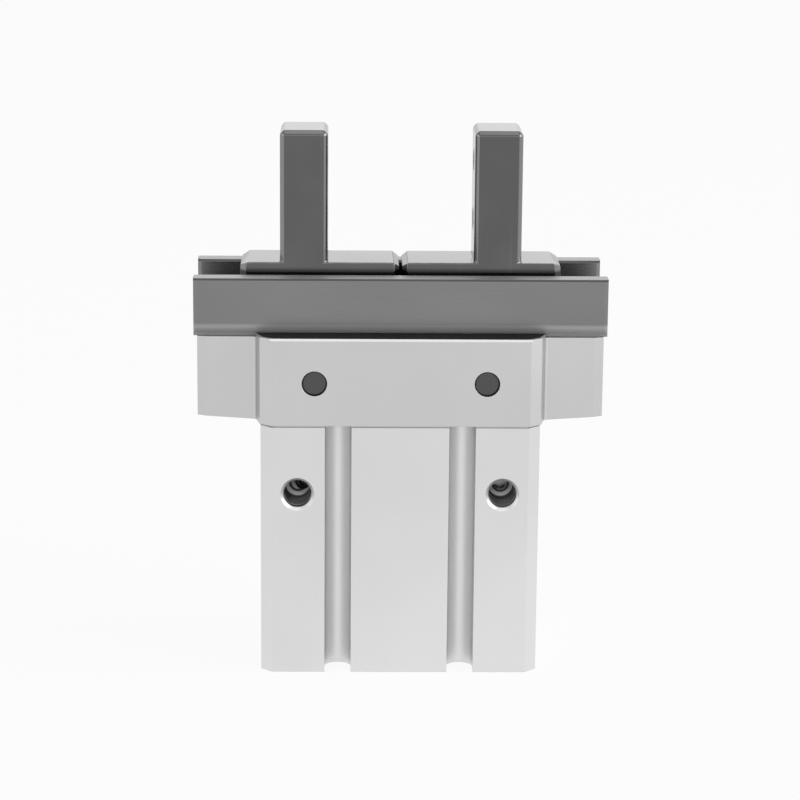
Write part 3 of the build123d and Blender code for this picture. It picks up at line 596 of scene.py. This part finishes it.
tree, shader = new_finish("finger_steel", {"Metallic": 1.0})
marks = effect(tree, ground_lines, Stretch=ALONG_Z, Frequency=7500.0)
patches = effect(tree, soft_patches, Frequency=110.0)["Patches"]
grain = effect(tree, fine_grain, Frequency=6500.0)["Grain"]
wear_and_highlight = effect(tree, worn_and_lit_edges, Radius=0.16 * MM)["Wear"]
facing = tree.nodes.new("ShaderNodeNewGeometry")
sides = add_node(tree, "ShaderNodeSeparateXYZ")
tree.links.new(facing.outputs["True Normal"], sides.inputs[0])
slant = product(tree, sides.outputs["X"], sides.outputs["Y"])
either_way = add_node(tree, "ShaderNodeMath", operation="ABSOLUTE")
tree.links.new(slant, either_way.inputs[0])
# The upright chamfers are painted paler: a painted highlight.
chamfer_highlight_mask = ranged(tree, either_way.outputs[0], 0.3, 0.45)
place = tree.nodes.new("ShaderNodeTexCoord")
split = tree.nodes.new("ShaderNodeSeparateXYZ")
tree.links.new(place.outputs["Object"], split.inputs[0])
# The lowest half millimetre above the rail is painted dark: a painted shade.
shade_band_mask = ranged(tree, split.outputs["Z"], SHADE_BAND_HIGH, SHADE_BAND_LOW)
dark = mixed(tree, patches, grey(0.112), grey(0.124, 0.01))
lit_and_shaded_steel = mixed(tree, shade_band_mask, mixed(tree, chamfer_highlight_mask, dark, grey(0.24)), grey(0.045))
lined = mixed(tree, ranged(tree, marks["Lines"], 0, 1, 0, 0.04), lit_and_shaded_steel, grey(0.22))
scratched = mixed(tree, ranged(tree, marks["Scratches"], 0, 1, 0, 0.06), lined, grey(0.30))
# Brighter edges: partly wear, partly a painted highlight.
tree.links.new(mixed(tree, ranged(tree, wear_and_highlight, 0, 1, 0, 0.7), scratched, grey(0.36)),
               shader.inputs["Base Color"])
tree.links.new(ranged(tree, sum_of(tree, marks["Lines"], grain, 0.5), 0.0, 1.5, 0.11, 0.18),
               shader.inputs["Roughness"])
raise_surface(tree, shader, sum_of(tree, marks["Lines"], marks["Scratches"], -0.5), 0.0008 * MM)

# %% [markdown]
# Dark pins, inner levers and bright steel.
# The lever pins show their blackened ends in the front of the block, with a lathe's rings round
# each. The levers inside are hardened and straw-coloured in places by the heat. Rod, rollers and
# dowels are ground bright all round.

# %% Pins
PIN_AXIS_X = 12.9 * MM
PIN_AXIS_Z = 45.3 * MM

tree, shader = new_finish("pin_steel", {"Metallic": 1.0})
sides = tree.nodes.new("ShaderNodeTexCoord")
split = tree.nodes.new("ShaderNodeSeparateXYZ")
tree.links.new(sides.outputs["Object"], split.inputs[0])
right_side = ranged(tree, split.outputs["X"], -0.5 * MM, 0.5 * MM)
ring_marks = [effect(tree, turned_rings, Axis_Place=(side * PIN_AXIS_X, 0.0, PIN_AXIS_Z),
                     Axis_Mask=(1.0, 0.0, 1.0), Frequency=9000.0)["Rings"] for side in (-1, 1)]
left_rings = mixed(tree, ring_marks[0], grey(0.075), grey(0.105))
right_rings = mixed(tree, ring_marks[1], grey(0.075), grey(0.105))
blackened = mixed(tree, right_side, left_rings, right_rings)
wear_and_highlight = effect(tree, worn_and_lit_edges, Radius=0.2 * MM)["Wear"]
# Brighter edges: partly wear, partly a painted highlight.
tree.links.new(mixed(tree, ranged(tree, wear_and_highlight, 0, 1, 0, 0.8), blackened, grey(0.30)),
               shader.inputs["Base Color"])
grain = effect(tree, fine_grain, Frequency=6000.0)["Grain"]
tree.links.new(ranged(tree, grain, 0, 1, 0.26, 0.38), shader.inputs["Roughness"])
raise_surface(tree, shader, grain, 0.004 * MM)

# %% Levers
tree, shader = new_finish("lever_steel", {"Metallic": 1.0})
marks = effect(tree, ground_lines, Stretch=(1.0, 1.0, 0.05), Frequency=6000.0)
patches = effect(tree, soft_patches, Frequency=240.0)["Patches"]
wear_and_highlight = effect(tree, worn_and_lit_edges, Radius=0.2 * MM)["Wear"]
heated = mixed(tree, patches, (0.36, 0.35, 0.34, 1.0), (0.40, 0.36, 0.29, 1.0))
lined = mixed(tree, ranged(tree, marks["Lines"], 0, 1, 0, 0.2), heated, grey(0.22))
# Brighter edges: partly wear, partly a painted highlight.
tree.links.new(mixed(tree, wear_and_highlight, lined, grey(0.6)), shader.inputs["Base Color"])
tree.links.new(ranged(tree, marks["Lines"], 0, 1, 0.28, 0.42), shader.inputs["Roughness"])
raise_surface(tree, shader, marks["Lines"], 0.004 * MM)

# %% Bright steel
tree, shader = new_finish("bright_steel", {"Metallic": 1.0})
marks = effect(tree, ground_lines, Stretch=(1.0, 1.0, 0.3), Frequency=5000.0)
patches = effect(tree, soft_patches, Frequency=300.0)["Patches"]
tree.links.new(mixed(tree, patches, grey(0.52), grey(0.60, 0.01)), shader.inputs["Base Color"])
tree.links.new(ranged(tree, marks["Lines"], 0, 1, 0.14, 0.26), shader.inputs["Roughness"])
raise_surface(tree, shader, marks["Scratches"], -0.003 * MM)

# %% [markdown]
# Balls, screws, rubber, bumpers and the magnet.
# Balls are lapped to a mirror and only the oil on them varies. The screws are blackened, so
# their rims and hexagon sockets are brighter, partly rubbed and partly a painted highlight. The
# rubber is dull with a fine speckle of filler.
# The bumpers are amber urethane, and the magnet is plated sintered metal with a coarse grain.

# %% Balls and screws
tree, shader = new_finish("ball_steel", {"Metallic": 1.0})
oil = effect(tree, soft_patches, Frequency=900.0)["Patches"]
tree.links.new(mixed(tree, oil, grey(0.62), grey(0.70, 0.01)), shader.inputs["Base Color"])
tree.links.new(ranged(tree, oil, 0, 1, 0.05, 0.13), shader.inputs["Roughness"])

tree, shader = new_finish("screw_steel", {"Metallic": 0.85})
grain = effect(tree, fine_grain, Frequency=7000.0)["Grain"]
wear_and_highlight = effect(tree, worn_and_lit_edges, Radius=0.15 * MM, Frequency=2500.0)["Wear"]
oxide = mixed(tree, grain, grey(0.020), grey(0.038, 0.06))
# Brighter edges: partly wear, partly a painted highlight.
tree.links.new(mixed(tree, ranged(tree, wear_and_highlight, 0, 1, 0, 0.8), oxide, grey(0.30)),
               shader.inputs["Base Color"])
tree.links.new(ranged(tree, grain, 0, 1, 0.32, 0.48), shader.inputs["Roughness"])
raise_surface(tree, shader, grain, 0.004 * MM)

# %% Rubber, bumpers and magnet
tree, shader = new_finish("black_rubber", {"Specular IOR Level": 0.12})
grain = effect(tree, fine_grain, Frequency=5000.0)["Grain"]
dust = effect(tree, soft_patches, Frequency=400.0)["Patches"]
filler = mixed(tree, grain, grey(0.005), grey(0.009))
tree.links.new(mixed(tree, ranged(tree, dust, 0, 1, 0, 0.25), filler, grey(0.020)),
               shader.inputs["Base Color"])
tree.links.new(ranged(tree, grain, 0, 1, 0.5, 0.7), shader.inputs["Roughness"])
raise_surface(tree, shader, grain, 0.006 * MM)

tree, shader = new_finish("bumper_urethane", {"Subsurface Weight": 0.1})
grain = effect(tree, fine_grain, Frequency=3000.0)["Grain"]
patches = effect(tree, soft_patches, Frequency=200.0)["Patches"]
tree.links.new(mixed(tree, patches, (0.38, 0.22, 0.08, 1.0), (0.46, 0.29, 0.12, 1.0)),
               shader.inputs["Base Color"])
tree.links.new(ranged(tree, grain, 0, 1, 0.42, 0.58), shader.inputs["Roughness"])
raise_surface(tree, shader, grain, 0.005 * MM)

tree, shader = new_finish("magnet", {"Metallic": 0.7})
grain = effect(tree, fine_grain, Frequency=2500.0)["Grain"]
patches = effect(tree, soft_patches, Frequency=250.0)["Patches"]
sintered = mixed(tree, grain, grey(0.045), grey(0.085))
tree.links.new(mixed(tree, ranged(tree, patches, 0, 1, 0, 0.3), sintered, grey(0.12)),
               shader.inputs["Base Color"])
tree.links.new(ranged(tree, grain, 0, 1, 0.42, 0.6), shader.inputs["Roughness"])
raise_surface(tree, shader, grain, 0.01 * MM)
print("finishes", len(finishes))

# %% [markdown]
# Dressing the drawn parts.
# The record that came with the parts names a slot for each, so a finish goes to every part that
# asks for it. The drawn shapes themselves are never changed. Their corners are still as sharp as
# on paper, and a sharp edge catches no light, so live modifiers break each one by a tenth of a
# millimetre: the loose triangles are welded, flat areas joined up again, edges bevelled, and
# the shading kept flat on the large faces. The body has rims far too thin for that, and the
# gasket is a black sheet laid where the rail's shadow falls, a painted shadow, so those two keep
# their edges, and the body's finish makes its edges look rounded instead. The guide and the
# balls get new shapes further down.

# %% Finishes and broken edges
EDGE_BREAK = 0.1 * MM
FINGER_EDGE_BREAK = 0.2 * MM
SMALL_EDGE_BREAK = 0.06 * MM
FINE_PARTS = {"guide_screws", "retaining_ring", "guide_dowels", "ball_stop_pins"}
# The guide_gasket is a black sheet that stands for the shadow under the rail: a painted shadow.
UNBROKEN = {"ball_rows_left", "ball_rows_right", "guide_gasket", "body", "guide"}


def break_edges(part, width):
    """Welds a part's triangles, rounds its sharp edges and keeps its flat faces flat."""
    part.modifiers.new("weld", "WELD").merge_threshold = 0.001 * MM
    flats = part.modifiers.new("flats", "DECIMATE")
    flats.decimate_type = "DISSOLVE"
    flats.angle_limit = math.radians(0.5)
    flats.delimit = {"NORMAL"}
    edges = part.modifiers.new("edges", "BEVEL")
    edges.width = width
    edges.segments = 2
    edges.profile = 0.5
    edges.limit_method = "ANGLE"
    edges.angle_limit = math.radians(30)
    edges.use_clamp_overlap = False
    part.modifiers.new("shading", "WEIGHTED_NORMAL")


for part in frame["record"]["subparts"]:
    drawn = nodes[part["node"]]
    drawn.data.materials.clear()
    drawn.data.materials.append(finishes[part["material_slot"]])
    width = EDGE_BREAK
    if part["node"] in FINE_PARTS:
        width = SMALL_EDGE_BREAK
    elif part["node"].startswith("finger"):
        width = FINGER_EDGE_BREAK
    if part["node"] not in UNBROKEN:
        break_edges(drawn, width)

# %% A helper that finishes a new piece
def finished_piece(name, shape, body, slot, smooth_angle=30):
    """Turns a bmesh into a piece that rides on a body and wears a slot's finish."""
    for face in shape.faces:
        face.smooth = True
    for e in shape.edges:
        e.smooth = e.calc_face_angle(0.0) < math.radians(smooth_angle)
    made = bpy.data.meshes.new(name)
    shape.to_mesh(made)
    shape.free()
    made.materials.append(finishes[slot])
    piece = bpy.data.objects.new(name, made)
    bpy.context.scene.collection.objects.link(piece)
    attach(piece, body)
    print(name, "faces", len(made.polygons))
    return piece


# %% [markdown]
# The guide's foot.
# In the photograph the lower edge of the rail is only eased: it curves in over more than a
# millimetre and a half of height, but by a quarter of a millimetre in depth. The drawing has a
# full quarter round there. So the rail is copied, its triangles are merged into one skin, and the
# quarter round is pressed flat towards the front, measured from the front face at that place,
# which itself steps back at the two end chamfers. The copy then stands for the drawn rail, and
# its finish makes its edges look rounded.

# %% The guide's foot
GUIDE_HALF_DEPTH = 9.2 * MM
GUIDE_HALF_LENGTH = 31.1 * MM
FOOT_RADIUS = 1.65 * MM
END_CHAMFER = 0.5 * MM
FOOT_SHARE = 0.15

rail = bmesh.new()
rail.from_mesh(nodes["guide"].data)
bmesh.ops.remove_doubles(rail, verts=rail.verts, dist=0.001 * MM)
foot_top = GUIDE_FOOT_LOW + FOOT_RADIUS
moved = 0
for vert in rail.verts:
    front = GUIDE_HALF_DEPTH - max(0.0, abs(vert.co.x) - GUIDE_HALF_LENGTH + END_CHAMFER)
    inside = front - abs(vert.co.y)
    if vert.co.z < foot_top and inside <= FOOT_RADIUS + 0.001 * MM:
        vert.co.y = math.copysign(front - inside * FOOT_SHARE, vert.co.y)
        moved += 1
guide_rail = finished_piece("guide_rail", rail, "housing", "guide_steel")
guide_rail.modifiers.new("shading", "WEIGHTED_NORMAL").keep_sharp = True
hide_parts("guide")
print("foot points moved", moved)

# %% [markdown]
# Screw threads.
# The drawing has plain holes where the real part is tapped. A thread is a ridge that winds down
# the hole. Its cross-section, a blunt wedge of four points, is spun about the hole's axis while
# each step also moves it down by a fraction of the pitch. Both ends are closed, and the ridge
# is rooted a hair inside the wall so no gap shows.

# %% A helper that cuts a thread
STEPS_PER_TURN = 28
CREST_START, CREST_END, RIDGE_END = 0.36, 0.46, 0.82
ROOT_IN_WALL = 0.02 * MM


def add_thread(target, place, radius, pitch, turns, height):
    """Winds a thread's ridge along -Z from the origin and adds it, put in place, to a mesh."""
    ridge = bmesh.new()
    wall = radius + ROOT_IN_WALL
    crest = radius - height
    corners = [(wall, 0.0), (crest, -CREST_START * pitch), (crest, -CREST_END * pitch),
               (wall, -RIDGE_END * pitch)]
    verts = [ridge.verts.new((x, 0.0, z)) for x, z in corners]
    for first, second in zip(verts, verts[1:] + verts[:1]):
        ridge.edges.new((first, second))
    bmesh.ops.spin(ridge, geom=ridge.verts[:] + ridge.edges[:], cent=(0, 0, 0), axis=(0, 0, 1),
                   dvec=(0, 0, -pitch / STEPS_PER_TURN), angle=math.tau * turns,
                   steps=STEPS_PER_TURN * turns, use_merge=False, use_duplicate=False)
    bmesh.ops.holes_fill(ridge, edges=[e for e in ridge.edges if e.is_boundary], sides=4)
    bmesh.ops.recalc_face_normals(ridge, faces=ridge.faces)
    bmesh.ops.transform(ridge, matrix=place, verts=ridge.verts)
    bmesh.ops.triangulate(ridge, faces=[f for f in ridge.faces if len(f.verts) > 4])
    part = bpy.data.meshes.new("ridge")
    ridge.to_mesh(part)
    ridge.free()
    target.from_mesh(part)
    bpy.data.meshes.remove(part)


# %% [markdown]
# Where the tapped holes are.
# Air ports: two in the front. Mounting threads: two in the underside and two in the rear. The
# end cap has one for a puller, and each finger blade has two that run right through it, for the
# jaws that a user adds.

# %% The threads of the body
BODY_FRONT = -13.5 * MM
BELOW_MOUTH = 0.5 * MM
BORE_RADIUS, COARSE_PITCH = 2.1 * MM, 0.8 * MM
FOOT_HOLE_X = 16 * MM
REAR_HOLE_X, REAR_HOLE_Z = 15 * MM, 15 * MM

tapped = bmesh.new()
for side in (-1, 1):
    inwards = Matrix.Rotation(math.radians(90), 4, "X")
    port = Matrix.Translation((side * PORT_X, BODY_FRONT + 2 * BELOW_MOUTH, PORT_Z)) @ inwards
    add_thread(tapped, port, BORE_RADIUS, COARSE_PITCH, 5, 0.14 * MM)
    upwards = Matrix.Rotation(math.radians(180), 4, "X")
    below = Matrix.Translation((side * FOOT_HOLE_X, 0, BELOW_MOUTH)) @ upwards
    add_thread(tapped, below, BORE_RADIUS, COARSE_PITCH, 11, 0.3 * MM)
    forwards = Matrix.Rotation(math.radians(-90), 4, "X")
    rear_mouth = (side * REAR_HOLE_X, -BODY_FRONT - BELOW_MOUTH, REAR_HOLE_Z)
    rear = Matrix.Translation(rear_mouth) @ forwards
    add_thread(tapped, rear, BORE_RADIUS, COARSE_PITCH, 8, 0.3 * MM)
finished_piece("body_threads", tapped, "housing", "body_anodised")

# %% The puller thread of the end cap
DISH_FLOOR = 4.675 * MM

tapped = bmesh.new()
upwards = Matrix.Rotation(math.radians(180), 4, "X")
add_thread(tapped, Matrix.Translation((0, 0, DISH_FLOOR + 0.1 * MM)) @ upwards,
           1.5 * MM, 0.5 * MM, 4, 0.22 * MM)
finished_piece("cap_thread", tapped, "housing", "cap_aluminium")

# %% The jaw threads of the fingers
BLADE_LOW, BLADE_THICK = 11.0 * MM, 7.2 * MM
JAW_HOLES_Z = (76.95 * MM, 67.95 * MM)

for name, side in (("left", -1), ("right", 1)):
    tapped = bmesh.new()
    for z in JAW_HOLES_Z:
        outwards = Matrix.Rotation(math.radians(-90), 4, "Y")
        start_x = BLADE_LOW if side > 0 else -BLADE_LOW - BLADE_THICK
        hole = Matrix.Translation((start_x + 0.15 * MM, 0, z)) @ outwards
        add_thread(tapped, hole, 1.65 * MM, 0.7 * MM, 9, 0.24 * MM)
    finished_piece("jaw_threads_" + name, tapped, "finger_" + name, "finger_steel")

# %% [markdown]
# The guide balls.
# Each finger runs on two rows of six steel balls. The drawing has them as cut-back cubes to keep
# it light, so each row is replaced here by true spheres at the same centres. A sphere made of
# rings and segments is plenty at this size, once its faces are shaded smooth.

# %% The guide balls
BALL_RADIUS = 1.25 * MM
BALLS_PER_ROW = 6
BALL_SPACING = 2.8 * MM
ROW_Y = 5.45 * MM

for name in ("left", "right"):
    low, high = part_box("ball_rows_" + name)
    middle = (Vector(low) + Vector(high)) / 2
    first_x = middle.x - BALL_SPACING * (BALLS_PER_ROW - 1) / 2
    balls = bmesh.new()
    for n in range(BALLS_PER_ROW):
        for row_y in (-ROW_Y, ROW_Y):
            centre = (first_x + n * BALL_SPACING, row_y, middle.z)
            bmesh.ops.create_uvsphere(balls, u_segments=24, v_segments=12, radius=BALL_RADIUS,
                                      matrix=Matrix.Translation(centre))
    rows = finished_piece("smooth_balls_" + name, balls, "balls_" + name, "ball_steel", 60)
    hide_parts("ball_rows_" + name)
